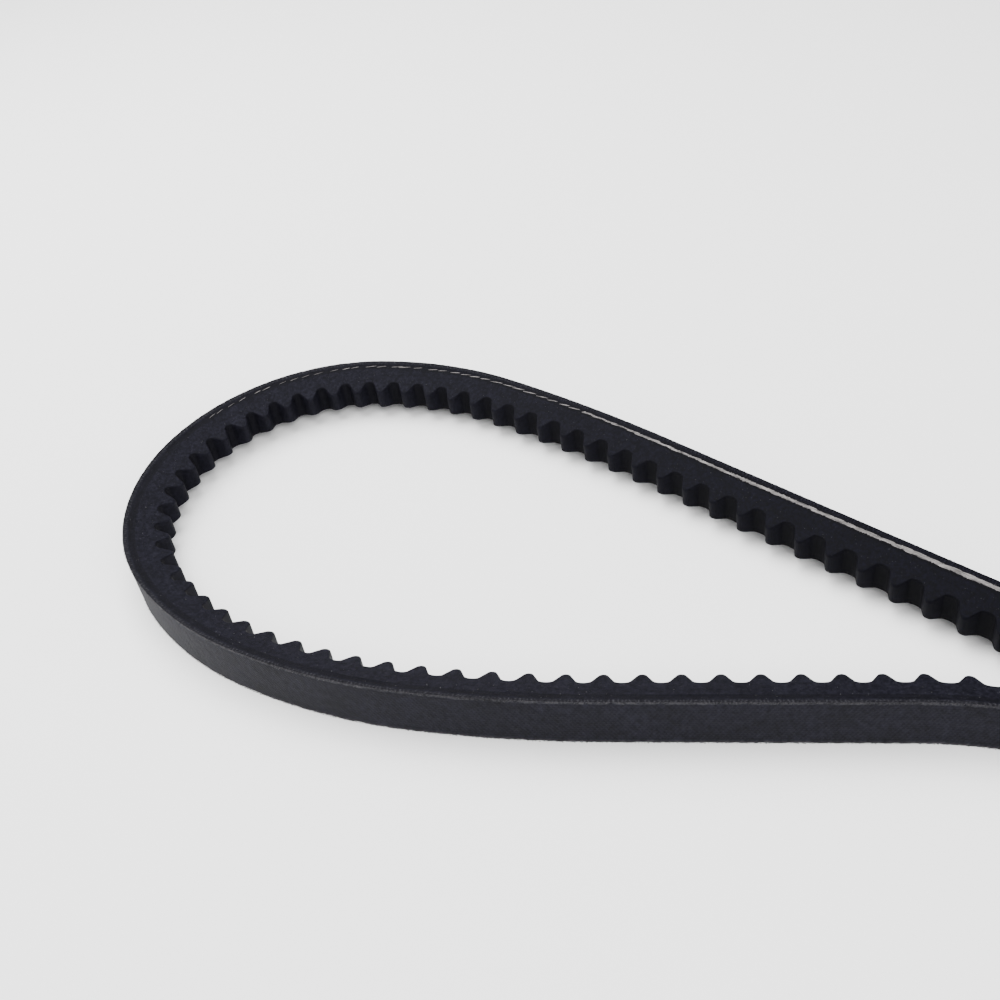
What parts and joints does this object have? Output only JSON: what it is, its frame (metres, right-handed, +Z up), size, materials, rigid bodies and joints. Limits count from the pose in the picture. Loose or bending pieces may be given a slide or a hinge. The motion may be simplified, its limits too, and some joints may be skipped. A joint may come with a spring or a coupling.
{
  "type": "v-belt",
  "caption": "Narrow raw-edge cogged drive belt with a tapered section, fabric back, buried cord and moulded cogs, lying on one flank in a pinched loop.",
  "frame": {"origin": "middle of the pinched neck, on the surface the belt lies on", "axes": "+X along the neck and the loop's length, +Z up across the belt's width, with the loop lying in the XY plane"},
  "size_m": [0.3926, 0.1134, 0.01],
  "materials": {
    "back_fabric": "rubberised woven cloth, matt",
    "inner_fabric": "rubberised woven cloth, matt",
    "overcord_rubber": "cut edge, matt",
    "adhesion_gum": "cut edge, slightly smoother",
    "fibre_rubber": "ground, short pale fibres standing out",
    "cog_rubber": "ground flanks with short pale fibres, moulded matt cogs",
    "cord": "twisted polyester, off-white"
  },
  "bodies": {
    "root": {"back_fabric_outer_ply": "back_fabric", "back_fabric_inner_ply": "inner_fabric", "overcord_rubber": "overcord_rubber", "adhesion_gum": "adhesion_gum", "undercord_rubber_sheet": "fibre_rubber", "cogged_compression_rubber": "cog_rubber", "tension_cord_turn_1": "cord", "tension_cord_turn_2": "cord", "tension_cord_turn_3": "cord", "tension_cord_turn_4": "cord", "tension_cord_turn_5": "cord", "tension_cord_turn_6": "cord", "tension_cord_turn_7": "cord", "tension_cord_upper_cut_end": "cord", "tension_cord_lower_cut_end": "cord"}
  },
  "joints": []
}
